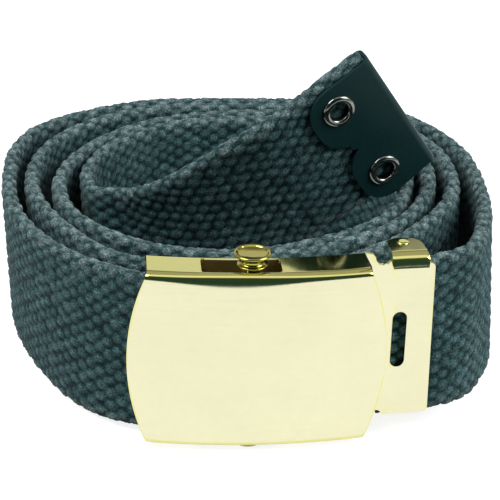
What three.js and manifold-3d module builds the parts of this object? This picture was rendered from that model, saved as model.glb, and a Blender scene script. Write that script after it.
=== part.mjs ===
// A woven cotton web belt, coiled on its edge and fastened by a box buckle of polished brass.
// Lengths are millimetres and +Z is up. The belt stands on the lower edge of its webbing.
import * as THREE from 'three';
import { mergeVertices } from 'three/addons/utils/BufferGeometryUtils.js';
import Module from 'manifold-3d';

const wasm = await Module();
wasm.setup();

// Driving sizes of the webbing
const WEB_WIDTH = 38;
const WEB_THICK = 3.2;
const WEB_CHAMFER = 0.7;
const WEB_STEP = { length: 7, turn: 11 };
const GAP = 0.3;

// The coil: the middle of its plan, and how far its foot leans out from its top
const COIL_MIDDLE = { x: -1, y: 16 };
const COIL_LEAN = { x: 1.8, y: -1.0 };

// Driving sizes of the buckle
const BUCKLE_AT = { x: 2.28, y: -47, turn: 5.27 };
const SHEET = 0.85;
const FACE_RADIUS = 134;
const FACE_BULGE = 2.2;
const FACET = 3;
const COVER = { foot: 0.92, height: 42.4, halfCorner: 23.95, halfMiddle: 28.45, depth: 9.2, bend: 2.2 };
const BAR_SLOT = { from: -12.4, to: 4.9, front: 2.1, lip: 2.9, lipEnd: 9 };
const FRAME = { foot: 4.5, top: 44.8, left: 21, right: 39.2, inset: 1.15, bend: 2 };
const FRAME_END = { from: 30, slant: 0.08 };
const EAR = { left: 28.9, right: 37.2, depth: 15 };
const BAR = { u: -1.4, d: 3.3, radius: 1.5 };
const PIN = { u: 32.3, d: 10.6, radius: 1 };

// Driving sizes of the end tip and its eyelets
const TIP = { sheet: 0.8, halfWidth: 19, length: 20.6, corner: 7.5, notch: 15.4, across: -1 };
const EYELET = { flange: 4.1, hole: 2.35, barrel: 2.75, clearance: 3.05, rim: 0.8 };
const EYELET_PLACES = [
  { name: 'eyelet_upper', back: 12.4, across: 11.3 },
  { name: 'eyelet_lower', back: 11.8, across: -11.4 },
];

// Moves the whole belt so that the origin is under the middle of its outline
const STAND = { x: 1.078, y: -15.278, z: 0.124 };

// One row for each heading of the coil, a column of centre-line radius for each turn
const TURNS = [
  { heading: -30, a: 63.6, b: 47.5, c: 42.1, d: 38.4 },
  { heading: 0, a: 59.6, b: 52.9, c: 47.2, d: 42.0 },
  { heading: 30, a: 63.9, b: 57.9, c: 53.0, d: 47.5 },
  { heading: 60, a: 68.5, b: 62.3, c: 58.0, d: 51.0 },
  { heading: 90, a: 61.1, b: 57.0, c: 51.6, d: 46.6 },
  { heading: 120, a: 64.1, b: 59.3, c: 49.6, d: 45.4 },
  { heading: 150, a: 66.6, b: 57.4, c: 46.8, d: 42.5 },
  { heading: 180, a: 59.4, b: 53.4, c: 46.2, d: 39.8 },
  { heading: 210, a: 58.1, b: 50.4, c: 45.2 },
  { heading: 240, a: 60.9, b: 51.8, c: 43.6 },
  { heading: 270, b: 44.4, c: 40.4 },
  { heading: 300, b: 40.9, c: 37.1 },
];

// Where the outer turn is lifted off the floor, and how far its foot splays out from its top
const SETTLE = [
  { turn: 'a', heading: -30, lift: 1.5, splay: -0.2 },
  { turn: 'a', heading: 0, lift: 0, splay: 0.7 },
  { turn: 'a', heading: 30, lift: 0.5, splay: 2.1 },
  { turn: 'a', heading: 120, lift: 0, splay: 0.2 },
  { turn: 'a', heading: 150, lift: 0, splay: 1.2 },
  { turn: 'a', heading: 180, lift: 0, splay: 0.9 },
  { turn: 'a', heading: 210, lift: 0, splay: -1.1 },
  { turn: 'a', heading: 240, lift: 1.1, splay: 1.5 },
];

// The fixed end, held in the frame: along the face, behind the face, off the floor
const FIXED_END = [
  { u: 27.5, d: 4.6, lift: 5.6 },
  { u: 31, d: 5.4, lift: 5.6 },
  { u: 36, d: 6.2, lift: 5.5 },
  { u: 41, d: 8.2, lift: 5.1 },
  { u: 46, d: 11.6, lift: 4.4 },
];

// The running part, where it passes through the box behind the locking bar
const THROUGH_BOX = [
  { u: -22, d: 7.0, lift: 2.1 },
  { u: -12, d: 7.2, lift: 2.1 },
  { u: 0, d: 7.9, lift: 2.1 },
  { u: 9, d: 9.6, lift: 2.1 },
  { u: 18, d: 14.4, lift: 1.8 },
  { u: 27, d: 21.4, lift: 1.0 },
];

// The free end: its middle, and how its upper edge tips to the side and to the front
const TAIL = [
  { x: -38.54, y: 10.62, z: 19.23, side: -0.02, front: -0.01 },
  { x: -33.04, y: 7.42, z: 20.24, side: -0.06, front: -0.04 },
  { x: -23.5, y: 5.81, z: 22.42, side: -0.16, front: -0.11 },
  { x: -13.67, y: 5.18, z: 27.16, side: -0.28, front: -0.2 },
  { x: -4.33, y: 4.74, z: 33.87, side: -0.4, front: -0.3 },
  { x: 3.93, y: 4.9, z: 40.08, side: -0.52, front: -0.38 },
  { x: 12.59, y: 6.01, z: 45.6, side: -0.64, front: -0.44 },
  { x: 14.88, y: 6.63, z: 47.14, side: -0.64, front: -0.44 },
  { x: 24.04, y: 9.18, z: 54.14, side: -0.64, front: -0.44 },
  { x: 33.2, y: 11.73, z: 61.12, side: -0.64, front: -0.44 },
];

const degrees = (angle) => (angle * Math.PI) / 180;

// Places on the buckle: u runs along its face, d goes back from the face's corners
const alongFace = new THREE.Vector3(Math.cos(degrees(BUCKLE_AT.turn)), Math.sin(degrees(BUCKLE_AT.turn)), 0);
const behindFace = new THREE.Vector3(-alongFace.y, alongFace.x, 0);
const bow = (u) => (u * u) / (2 * FACE_RADIUS) - FACE_BULGE;

// Depth of the bowed face, which is made of flat facets so that every sheet on it fits the next
function faceDepth(u) {
  const edge = Math.floor(u / FACET) * FACET;
  return THREE.MathUtils.lerp(bow(edge), bow(edge + FACET), (u - edge) / FACET);
}

// The frame follows the face as far as its ear and then runs straight on
function frameDepth(u) {
  const { from, slant } = FRAME_END;
  return u <= from ? faceDepth(u) : faceDepth(from) + slant * (u - from);
}

function onBuckle(u, d, z) {
  return new THREE.Vector3(BUCKLE_AT.x, BUCKLE_AT.y, z)
    .addScaledVector(alongFace, u)
    .addScaledVector(behindFace, d);
}

// Webbing route, as rows of middle point and direction of the upper edge
function coilRow(turn, row) {
  const settled = SETTLE.find((place) => place.turn === turn && place.heading === row.heading);
  const { lift, splay } = settled || { lift: 0, splay: 0 };
  const [out, side] = [Math.cos(degrees(row.heading)), Math.sin(degrees(row.heading))];
  const x = COIL_MIDDLE.x + row[turn] * out;
  const y = COIL_MIDDLE.y + row[turn] * side;
  const lean = { x: COIL_LEAN.x + splay * out, y: COIL_LEAN.y + splay * side };
  return [x, y, WEB_WIDTH / 2 + lift, -lean.x / WEB_WIDTH, -lean.y / WEB_WIDTH];
}

function buckleRow({ u, d, lift }) {
  const middle = onBuckle(u, d, WEB_WIDTH / 2 + lift);
  return [middle.x, middle.y, middle.z, 0, 0];
}

function routeRows() {
  const rows = FIXED_END.map(buckleRow);
  for (const turn of ['a', 'b', 'c', 'd']) {
    const held = TURNS.filter((row) => row[turn] !== undefined);
    rows.push(...held.map((row) => coilRow(turn, row)));
    if (turn === 'a') rows.push(...THROUGH_BOX.map(buckleRow));
  }
  rows.push(...TAIL.map(({ x, y, z, side, front }) => [x, y, z, side, front]));
  return rows;
}

// A smooth curve through the rows: each slope is that of the parabola through three neighbours
function chord(from, to) {
  return Math.hypot(to[0] - from[0], to[1] - from[1], to[2] - from[2]);
}

function slopeAt(rows, i, k) {
  const before = i > 0 ? chord(rows[i - 1], rows[i]) : 0;
  const after = i < rows.length - 1 ? chord(rows[i], rows[i + 1]) : 0;
  const rising = before ? (rows[i][k] - rows[i - 1][k]) / before : 0;
  const falling = after ? (rows[i + 1][k] - rows[i][k]) / after : 0;
  if (!before) return falling;
  if (!after) return rising;
  return (rising * after + falling * before) / (before + after);
}

function between(rows, i, t) {
  const span = chord(rows[i], rows[i + 1]);
  const start = (1 + 2 * t) * (1 - t) ** 2;
  const leave = t * (1 - t) ** 2 * span;
  const end = t * t * (3 - 2 * t);
  const arrive = t * t * (t - 1) * span;
  return rows[i].map((value, k) => start * value + leave * slopeAt(rows, i, k)
    + end * rows[i + 1][k] + arrive * slopeAt(rows, i + 1, k));
}

// Steps from one row to the next: short enough for the length and for the bend
function stepsBetween(rows, i) {
  const leave = new THREE.Vector2(slopeAt(rows, i, 0), slopeAt(rows, i, 1));
  const arrive = new THREE.Vector2(slopeAt(rows, i + 1, 0), slopeAt(rows, i + 1, 1));
  const turn = THREE.MathUtils.radToDeg(leave.angleTo(arrive));
  return Math.ceil(Math.max(chord(rows[i], rows[i + 1]) / WEB_STEP.length, turn / WEB_STEP.turn));
}

function routePoints() {
  const rows = routeRows();
  const points = [];
  for (let i = 0; i < rows.length - 1; i += 1) {
    const steps = stepsBetween(rows, i);
    for (let j = 0; j < steps; j += 1) points.push(between(rows, i, j / steps));
  }
  points.push(rows[rows.length - 1]);
  return points;
}

// Along, across and outward directions of the strap at one point of its route
function strapFrame(points, i) {
  const ahead = points[Math.min(i + 1, points.length - 1)];
  const behind = points[Math.max(i - 1, 0)];
  const along = new THREE.Vector3(...ahead).sub(new THREE.Vector3(...behind)).normalize();
  const upper = new THREE.Vector3(points[i][3], points[i][4], 1).normalize();
  const outward = new THREE.Vector3().crossVectors(along, upper).normalize();
  const across = new THREE.Vector3().crossVectors(outward, along).normalize();
  const middle = new THREE.Vector3(...points[i]);
  return { middle, along, across, outward };
}

// A closed solid through rings of points that all have the same count
function solidThroughRings(rings, outline) {
  if (THREE.ShapeUtils.isClockWise(outline)) {
    outline.reverse();
    rings.forEach((ring) => ring.reverse());
  }
  const count = rings[0].length;
  const positions = rings.flat().flatMap((point) => [point.x, point.y, point.z]);
  const faces = [];
  for (let r = 0; r < rings.length - 1; r += 1) {
    for (let k = 0; k < count; k += 1) {
      const next = (k + 1) % count;
      const [a, b] = [r * count + k, r * count + next];
      faces.push(a, b, b + count, a, b + count, a + count);
    }
  }
  const last = (rings.length - 1) * count;
  for (const [i, j, k] of THREE.ShapeUtils.triangulateShape(outline, [])) {
    faces.push(k, j, i, last + i, last + j, last + k);
  }
  const geometry = new THREE.BufferGeometry();
  geometry.setAttribute('position', new THREE.Float32BufferAttribute(positions, 3));
  geometry.setIndex(faces);
  return facesOut(geometry);
}

function facesOut(geometry) {
  const place = geometry.getAttribute('position');
  const index = geometry.getIndex().array;
  const [a, b, c] = [new THREE.Vector3(), new THREE.Vector3(), new THREE.Vector3()];
  let volume = 0;
  for (let i = 0; i < index.length; i += 3) {
    a.fromBufferAttribute(place, index[i]);
    b.fromBufferAttribute(place, index[i + 1]);
    c.fromBufferAttribute(place, index[i + 2]);
    volume += a.dot(b.cross(c));
  }
  if (volume < 0) {
    for (let i = 0; i < index.length; i += 3) [index[i], index[i + 1]] = [index[i + 1], index[i]];
  }
  return geometry;
}

// Joins and cuts
function withoutSlivers(index) {
  const kept = [];
  for (let i = 0; i < index.length; i += 3) {
    const [a, b, c] = index.slice(i, i + 3);
    if (a !== b && b !== c && c !== a) kept.push(a, b, c);
  }
  return kept;
}

function toSolid(geometry) {
  const bare = geometry.clone();
  bare.deleteAttribute('normal');
  bare.deleteAttribute('uv');
  const merged = facesOut(mergeVertices(bare, 1e-4));
  const vertProperties = new Float32Array(merged.getAttribute('position').array);
  const triVerts = new Uint32Array(withoutSlivers(merged.getIndex().array));
  return new wasm.Manifold(new wasm.Mesh({ numProp: 3, vertProperties, triVerts }));
}

function toGeometry(solid) {
  const mesh = solid.getMesh();
  const geometry = new THREE.BufferGeometry();
  geometry.setAttribute('position', new THREE.BufferAttribute(mesh.vertProperties, 3));
  geometry.setIndex(new THREE.BufferAttribute(mesh.triVerts, 1));
  return geometry;
}

function join(geometries) {
  return toGeometry(geometries.map(toSolid).reduce((whole, piece) => whole.add(piece)));
}

function cut(geometry, tools) {
  return toGeometry(tools.map(toSolid).reduce((whole, tool) => whole.subtract(tool), toSolid(geometry)));
}

function common(first, second) {
  return toGeometry(toSolid(first).intersect(toSolid(second)));
}

// Moves a shape that was drawn with x along the buckle, y behind it and z up onto the buckle
function placeOnBuckle(geometry) {
  const matrix = new THREE.Matrix4().makeBasis(alongFace, behindFace, new THREE.Vector3(0, 0, 1));
  matrix.setPosition(BUCKLE_AT.x, BUCKLE_AT.y, 0);
  return geometry.applyMatrix4(matrix);
}

// A profile of depth and height, swept along the buckle's face or its frame from one u to another
function bowed(profile, fromU, toU, depthAt = faceDepth) {
  const stops = [fromU];
  for (let u = (Math.floor(fromU / FACET) + 1) * FACET; u < toU; u += FACET) stops.push(u);
  stops.push(toU);
  const rings = stops.map((u) => profile.map(({ x, y }) => new THREE.Vector3(u, depthAt(u) + x, y)));
  return solidThroughRings(rings, profile);
}

function rectangle(x0, x1, y0, y1) {
  const corners = [[x0, y0], [x1, y0], [x1, y1], [x0, y1]];
  return corners.map(([x, y]) => new THREE.Vector2(x, y));
}

// A shape drawn in u and z, carried straight back from one depth to another
function carriedBack(shape, fromD, toD, curveSegments = 6) {
  const settings = { depth: toD - fromD, bevelEnabled: false, curveSegments };
  return new THREE.ExtrudeGeometry(shape, settings).rotateX(Math.PI / 2).translate(0, toD, 0);
}

function upright(radius, fromZ, toZ, u, d, sides = 16) {
  const height = toZ - fromZ;
  return new THREE.CylinderGeometry(radius, radius, height, sides)
    .rotateX(Math.PI / 2)
    .translate(u, d, fromZ + height / 2);
}

// A U or C of sheet with round outer bends, open at the back
function channelProfile({ front, back, foot, top, bend, sheet = SHEET }) {
  const inner = bend - sheet;
  const path = new THREE.Shape();
  path.moveTo(back, foot);
  path.lineTo(front + bend, foot);
  path.absarc(front + bend, foot + bend, bend, -Math.PI / 2, -Math.PI, true);
  path.lineTo(front, top - bend);
  path.absarc(front + bend, top - bend, bend, Math.PI, Math.PI / 2, true);
  path.lineTo(back, top);
  path.lineTo(back, top - sheet);
  path.lineTo(front + bend, top - sheet);
  path.absarc(front + bend, top - bend, inner, Math.PI / 2, Math.PI, false);
  path.lineTo(front + sheet, foot + bend);
  path.absarc(front + bend, foot + bend, inner, Math.PI, (3 * Math.PI) / 2, false);
  path.lineTo(back, foot + sheet);
  return withoutDoubles(path.extractPoints(4).shape);
}

function withoutDoubles(points) {
  return points.filter((point, i) => point.distanceTo(points[(i + 1) % points.length]) > 1e-6);
}

// Webbing
function webSection() {
  const [t, w] = [WEB_THICK / 2, WEB_WIDTH / 2];
  const c = WEB_CHAMFER;
  const upper = [[t, w - c], [t - c, w], [c - t, w], [-t, w - c]];
  const lower = upper.map(([x, y]) => [-x, -y]);
  return [...upper, ...lower].map(([x, y]) => new THREE.Vector2(x, y));
}

function webbingStrap(points) {
  const section = webSection();
  const rings = points.map((point, i) => {
    const { middle, across, outward } = strapFrame(points, i);
    return section.map(({ x, y }) => middle.clone().addScaledVector(outward, x).addScaledVector(across, y));
  });
  return solidThroughRings(rings, section);
}

// Places on the tip: s back from the webbing's end, w across it, n out of its front
function tipMatrix(points) {
  const { middle, along, across, outward } = strapFrame(points, points.length - 1);
  const matrix = new THREE.Matrix4().makeBasis(along.clone().negate(), across, outward);
  matrix.setPosition(middle.addScaledVector(across, TIP.across));
  return matrix;
}

function eyeletTool(points, place, radius, fromN, toN) {
  return new THREE.CylinderGeometry(radius, radius, toN - fromN, 16)
    .rotateX(Math.PI / 2)
    .translate(place.back, place.across, (fromN + toN) / 2)
    .applyMatrix4(tipMatrix(points));
}

function webbing(points) {
  const reach = WEB_THICK;
  const holes = EYELET_PLACES.map((place) => eyeletTool(points, place, EYELET.clearance, -reach, reach));
  return cut(webbingStrap(points), holes);
}

// End tip: one sheet folded over the webbing's end, with two round lobes on each side
function lobedOutline() {
  const { halfWidth, length, corner, notch } = TIP;
  const shape = new THREE.Shape();
  shape.moveTo(-GAP - TIP.sheet, -halfWidth);
  shape.lineTo(length - corner, -halfWidth);
  shape.absarc(length - corner, corner - halfWidth, corner, -Math.PI / 2, 0, false);
  shape.lineTo(length, -corner);
  shape.absarc(length - corner, -corner, corner, 0, Math.PI * 0.39, false);
  shape.lineTo(notch, 0);
  shape.absarc(length - corner, corner, corner, -Math.PI * 0.39, 0, false);
  shape.lineTo(length, halfWidth - corner);
  shape.absarc(length - corner, halfWidth - corner, corner, 0, Math.PI / 2, false);
  shape.lineTo(-GAP - TIP.sheet, halfWidth);
  return shape;
}

function endTip(points) {
  const outer = WEB_THICK / 2 + GAP + TIP.sheet;
  const fold = channelProfile({ front: -GAP - TIP.sheet, back: TIP.length + 1, foot: -outer, top: outer,
    bend: 1.6, sheet: TIP.sheet });
  const across = { depth: 2 * TIP.halfWidth + 2, bevelEnabled: false };
  const folded = new THREE.ExtrudeGeometry(new THREE.Shape(fold), across)
    .translate(0, 0, -TIP.halfWidth - 1)
    .rotateX(Math.PI / 2);
  const through = { depth: 3 * outer, bevelEnabled: false, curveSegments: 6 };
  const lobes = new THREE.ExtrudeGeometry(lobedOutline(), through).translate(0, 0, -1.5 * outer);
  const whole = common(folded, lobes).applyMatrix4(tipMatrix(points));
  const reach = 2 * WEB_THICK;
  return cut(whole, EYELET_PLACES.map((place) => eyeletTool(points, place, EYELET.clearance, -reach, reach)));
}

// Eyelet: a tube through the tip and the webbing, with a rolled flange on both faces
function eyelet(points, place) {
  const { flange, hole, barrel, rim } = EYELET;
  const face = WEB_THICK / 2 + GAP + TIP.sheet + GAP;
  const half = [
    [hole, 0],
    [hole, face + rim * 0.6],
    [hole + 0.5, face + rim],
    [flange - 0.5, face + rim * 0.75],
    [flange, face],
    [barrel, face],
    [barrel, 0],
  ];
  const mirrored = half.slice(1, -1).reverse().map(([r, n]) => [r, -n]);
  const profile = [...half, ...mirrored, half[0]].map(([r, n]) => new THREE.Vector2(r, n));
  return new THREE.LatheGeometry(profile, 20)
    .rotateX(Math.PI / 2)
    .translate(place.back, place.across, 0)
    .applyMatrix4(tipMatrix(points));
}

// Cover: a bowed, barrel-shaped face with a wall along its top and bottom. Both walls have a slot for
// the locking bar, and the upper wall turns down in a short lip behind it
function barrelShape() {
  const { foot, height, halfCorner, halfMiddle } = COVER;
  const [bulge, half] = [halfMiddle - halfCorner, height / 2];
  const radius = (half * half + bulge * bulge) / (2 * bulge);
  const sweep = Math.asin(half / radius);
  const middle = foot + half;
  const shape = new THREE.Shape();
  shape.moveTo(-halfCorner, foot);
  shape.lineTo(halfCorner, foot);
  shape.absarc(halfMiddle - radius, middle, radius, -sweep, sweep, false);
  shape.lineTo(-halfCorner, foot + height);
  shape.absarc(radius - halfMiddle, middle, radius, Math.PI - sweep, Math.PI + sweep, false);
  return shape;
}

function buckleCover() {
  const { foot, height, depth, bend, halfMiddle } = COVER;
  const top = foot + height;
  const profile = channelProfile({ front: 0, back: depth, foot, top, bend });
  const channel = bowed(profile, -halfMiddle - 1, halfMiddle + 1);
  const barrel = carriedBack(barrelShape(), -FACE_BULGE - 1, depth + 3, 8);
  const lipFront = depth - SHEET;
  const { from, to, front } = BAR_SLOT;
  const lip = bowed(rectangle(lipFront, depth, top - BAR_SLOT.lip, top - 0.1), from, BAR_SLOT.lipEnd);
  const barSlot = bowed(rectangle(front, lipFront, foot - 1, top + 1), from, to);
  const hornRelief = bowed(rectangle(SHEET + 0.02, 6, top - 2.6, top + 1), 23.4, 32);
  return placeOnBuckle(join([cut(common(channel, barrel), [barSlot, hornRelief]), lip]));
}

// Frame: the plate beside the cover, with a horn, a long slot and an ear at top and bottom
function framePlateShape() {
  const { foot, top, left, right, bend } = FRAME;
  const high = top - bend;
  const outline = new THREE.Shape();
  outline.moveTo(left, foot + 2.4);
  outline.lineTo(25.6, foot + 2.4);
  outline.absarc(27.0, foot + 2.1, 1.35, Math.PI * 0.92, Math.PI * 0.04, true);
  outline.lineTo(28.6, foot + 2);
  outline.lineTo(37.8, foot + 2);
  outline.lineTo(38.95, foot + 2.9);
  outline.lineTo(38.35, top - 1.65);
  outline.lineTo(37.1, top - 0.9);
  outline.lineTo(37.0, high);
  outline.lineTo(29.1, high);
  outline.lineTo(28.5, top - 0.3);
  outline.absarc(26.7, top + 1.1, 1.8, -Math.PI * 0.2, -Math.PI, true);
  outline.lineTo(24.4, top + 1.8);
  outline.lineTo(22.4, top + 2.4);
  outline.lineTo(24.1, top - 0.9);
  outline.lineTo(24.6, top - 3.2);
  outline.lineTo(left, top - 3.4);
  return outline;
}

function buckleFrame() {
  const { foot, top, left, right, inset, bend } = FRAME;
  const sheet = bowed(rectangle(inset, inset + SHEET, foot, top + 3), left, right, frameDepth);
  const plate = common(sheet, carriedBack(framePlateShape(), -4, 12, 8));
  const profile = channelProfile({ front: inset, back: EAR.depth, foot, top, bend });
  const channel = bowed(profile, EAR.left, EAR.right, frameDepth);
  const ears = common(channel, earOutline());
  const pinHole = upright(PIN.radius + GAP, foot - 1, top + 1, PIN.u, PIN.d);
  return placeOnBuckle(cut(join([plate, ears]), [carriedBack(longSlot(), -4, 6, 8), pinHole]));
}

function longSlot() {
  const shape = new THREE.Shape();
  shape.absarc(31.25, 20.0, 1.78, Math.PI, 2 * Math.PI, false);
  shape.absarc(31.25, 30.45, 1.78, 0, Math.PI, false);
  return shape;
}

// The ears seen from above: straight sides and a round back about the hinge pin
function earOutline() {
  const shape = new THREE.Shape();
  shape.moveTo(EAR.left, -4);
  shape.lineTo(EAR.right, -4);
  shape.lineTo(EAR.right, 3);
  shape.lineTo(36.7, 6);
  shape.lineTo(36.6, 10);
  shape.quadraticCurveTo(36.4, 13.9, 32.7, 13.9);
  shape.absarc(32.6, 10.2, 3.7, Math.PI / 2, Math.PI, false);
  const settings = { depth: 60, bevelEnabled: false, curveSegments: 8 };
  return new THREE.ExtrudeGeometry(shape, settings).translate(0, 0, -5);
}

// Clamp plate: presses the fixed end against the frame, and turns about the hinge pin
function clampPlate() {
  const { u, d } = PIN;
  const [foot, top] = [FRAME.foot + 1.4, FRAME.top - 1.4];
  const plate = bowed(rectangle(6.9, 8.1, foot, top), 29.8, 36.2, frameDepth);
  const teeth = [];
  for (let z = foot + 2; z < top - 1; z += 3.2) teeth.push(clampTooth(z));
  const barrel = upright(2.0, foot, top, u, d, 12);
  const bore = upright(PIN.radius + GAP, foot - 1, top + 1, u, d);
  return placeOnBuckle(cut(join([plate, ...teeth, barrel]), [bore]));
}

function clampTooth(z) {
  const tooth = new THREE.ConeGeometry(0.7, 0.9, 4);
  const u = 30.6;
  return tooth.rotateX(Math.PI).translate(u, frameDepth(u) + 6.6, z);
}

// A turned piece that stands on the buckle, from rows of radius and height
function turned(rows, u, d, sides) {
  const profile = rows.map(([radius, z]) => new THREE.Vector2(radius, z));
  return placeOnBuckle(new THREE.LatheGeometry(profile, sides).rotateX(Math.PI / 2).translate(u, d, 0));
}

function hingePin() {
  const { u, d, radius } = PIN;
  const [foot, top, head] = [FRAME.foot - GAP, FRAME.top + GAP, 0.6];
  const rows = [
    [0, foot - head],
    [radius + 0.5, foot - head + 0.2],
    [radius + 0.7, foot],
    [radius, foot],
    [radius, top],
    [radius + 0.7, top],
    [radius + 0.5, top + head - 0.2],
    [0, top + head],
  ];
  return turned(rows, u, d, 16);
}

// Locking bar: stands in the box, with a flared knob above it and a low head below
function lockingBar() {
  const { u, d, radius } = BAR;
  const [foot, top] = [COVER.foot - GAP, COVER.foot + COVER.height + GAP];
  const rows = [
    [0, 0],
    [3.2, 0],
    [3.4, 0.25],
    [3.4, foot],
    [radius, foot],
    [radius, top],
    [3.35, top],
    [3.35, top + 0.5],
    [2.5, top + 0.8],
    [2.4, top + 1.6],
    [4.0, top + 2.4],
    [4.15, top + 2.75],
    [3.95, top + 3.05],
    [3.5, top + 3.05],
    [3.2, top + 2.6],
    [0, top + 2.5],
  ];
  return turned(rows, u, d, 24);
}

const cotton = { color: 0x4d6468, roughness: 0.95, metalness: 0 };
const brass = { color: 0xe6dc9c, roughness: 0.18, metalness: 1 };
const blackTip = { color: 0x0b1416, roughness: 0.15, metalness: 0 };
const nickel = { color: 0xc9cbc6, roughness: 0.2, metalness: 1 };

function piece(name, geometry, finish) {
  const mesh = new THREE.Mesh(geometry, new THREE.MeshStandardMaterial(finish));
  mesh.name = name;
  return mesh;
}

const route = routePoints();
const belt = new THREE.Group();
belt.add(piece('webbing', webbing(route), cotton));
belt.add(piece('buckle_cover', buckleCover(), brass));
belt.add(piece('buckle_frame', buckleFrame(), brass));
belt.add(piece('locking_bar', lockingBar(), brass));
belt.add(piece('clamp_plate', clampPlate(), brass));
belt.add(piece('hinge_pin', hingePin(), brass));
belt.add(piece('end_tip', endTip(route), blackTip));
for (const place of EYELET_PLACES) belt.add(piece(place.name, eyelet(route, place), nickel));
belt.position.set(STAND.x, STAND.y, STAND.z);

export default belt;
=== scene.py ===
# %% [markdown]
# # A coiled web belt with a brass box buckle
# The belt is one long strip of woven cotton, coiled on its edge and fastened by a small buckle.
# Everything here is drawn in the frame of the finished solids: metres, +Z up, the buckle's face
# towards -Y. Sizes are written in millimetres and multiplied by MM, because a belt's parts are small.

# %% Load the frame
import math

import bmesh
import bpy
import numpy as np
from mathutils import Matrix, Vector


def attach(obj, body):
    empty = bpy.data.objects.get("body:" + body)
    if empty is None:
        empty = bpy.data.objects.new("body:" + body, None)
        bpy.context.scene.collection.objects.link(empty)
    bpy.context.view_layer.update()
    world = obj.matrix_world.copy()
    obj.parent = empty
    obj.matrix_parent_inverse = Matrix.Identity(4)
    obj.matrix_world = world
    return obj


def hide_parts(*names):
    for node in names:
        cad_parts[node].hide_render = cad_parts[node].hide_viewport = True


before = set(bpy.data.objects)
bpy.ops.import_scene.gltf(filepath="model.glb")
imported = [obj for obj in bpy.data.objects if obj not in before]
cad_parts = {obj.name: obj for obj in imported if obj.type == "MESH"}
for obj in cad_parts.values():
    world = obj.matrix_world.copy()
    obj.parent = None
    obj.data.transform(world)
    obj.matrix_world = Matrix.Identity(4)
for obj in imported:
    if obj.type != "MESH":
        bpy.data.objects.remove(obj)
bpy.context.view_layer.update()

MM = 0.001

# %% [markdown]
# ## The camera
# The picture is taken from close by, looking down on the belt at 25 degrees with a long lens.
# The camera is also rolled a little, which tips the whole picture clockwise.

# %% Place the camera
CAMERA = {"x": 1.078, "y": -373.296, "z": 193.66, "down": 25.0, "roll": 1.6, "lens": 117.17}

bpy.ops.object.camera_add()
camera = bpy.context.object
camera.data.lens = CAMERA["lens"]
camera.data.sensor_width = 36
camera.data.clip_start = 0.01
tilt = Matrix.Rotation(math.radians(90 - CAMERA["down"]), 4, "X")
roll = Matrix.Rotation(math.radians(CAMERA["roll"]), 4, "Z")
place = Matrix.Translation(Vector((CAMERA["x"], CAMERA["y"], CAMERA["z"])) * MM)
camera.matrix_world = place @ tilt @ roll
bpy.context.scene.camera = camera
print("camera", [round(v, 3) for v in camera.location])

# %% [markdown]
# ## The studio
# Polished metal shows what stands round it, so the light here is designed for its reflections.
# The floor and the sky behind the belt are white. The sky in front of the belt has a dark band
# near the horizon, which draws the dark line along the buckle's bends, and a bright patch overhead.
# The camera itself sees plain white, through the Light Path node, so the band never shows behind.
# The floor works in the same way: it glows for the camera and for mirrors, but throws little light
# back on the cloth, whose lower half is dark on the real belt.

# %% Helpers: objects
def fresh():
    """Leaves edit mode and deselects everything."""
    if bpy.context.object and bpy.context.object.mode != "OBJECT":
        bpy.ops.object.mode_set(mode="OBJECT")
    bpy.ops.object.select_all(action="DESELECT")


def new_piece(name, points, edges, faces):
    """An object made of points in mm, edges and faces."""
    mesh = bpy.data.meshes.new(name)
    mesh.from_pydata((np.array(points, dtype=float) * MM).tolist(), edges, faces)
    made = bpy.data.objects.new(name, mesh)
    bpy.context.collection.objects.link(made)
    return made


def store(mesh, name, values):
    """Keeps one number for each point of a mesh, for a material to read."""
    mesh.attributes.new(name, "FLOAT", "POINT").data.foreach_set("value", values)


print("object helpers ready")

# %% Helpers: nodes and materials
def set_inputs(made, values):
    for name, value in values.items():
        made.inputs[name].default_value = value


def node(tree, kind, values=None, **settings):
    """Adds a node, sets its fields and the defaults of its inputs."""
    made = tree.nodes.new("ShaderNode" + kind)
    for name, value in settings.items():
        setattr(made, name, value)
    set_inputs(made, values or {})
    return made


def mix(tree, values=None, kind="RGBA", **settings):
    """A node that blends A and B: inputs 6 and 7 for colours, 2 and 3 for numbers."""
    return node(tree, "Mix", values, data_type=kind, **settings)


def times(tree, factor):
    return node(tree, "Math", {1: factor}, operation="MULTIPLY")


def stored(tree, name):
    """A number that was stored for each point of the piece."""
    return node(tree, "Attribute", attribute_name=name)


def link(tree, *steps):
    """Joins an output and an input, given as node, socket, node, socket."""
    for i in range(0, len(steps), 4):
        source, out, target, into = steps[i:i + 4]
        tree.links.new(source.outputs[out], target.inputs[into])


def ramp(tree, stops):
    """A colour ramp from a list of positions and colours."""
    made = node(tree, "ValToRGB")
    while len(made.color_ramp.elements) < len(stops):
        made.color_ramp.elements.new(0.5)
    for element, (position, color) in zip(made.color_ramp.elements, stops):
        element.position = position
        element.color = (*color, 1)
    return made


def grey(value):
    return (value, value, value)


def new_material(name, values):
    """A material, its node tree and its shader, with the shader's plain values set."""
    made = bpy.data.materials.new(name)
    made.use_nodes = True
    shader = made.node_tree.nodes["Principled BSDF"]
    set_inputs(shader, values)
    return made, made.node_tree, shader


print("node helpers ready")

# %% Floor, white for the camera
FLOOR = {"size": 6, "middle_y": 2.75, "tone": 0.35, "glow": 0.84}


def floor_material():
    white = {"Base Color": (*grey(FLOOR["tone"]), 1), "Roughness": 0.7, "Emission Color": (1, 1, 1, 1)}
    made, tree, shader = new_material("studio_floor", white)
    ray = node(tree, "LightPath")
    seen = node(tree, "Math", operation="MAXIMUM")
    glow = times(tree, FLOOR["glow"])
    link(tree, ray, "Is Camera Ray", seen, 0, ray, "Is Glossy Ray", seen, 1)
    link(tree, seen, 0, glow, 0, glow, 0, shader, "Emission Strength")
    return made


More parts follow.
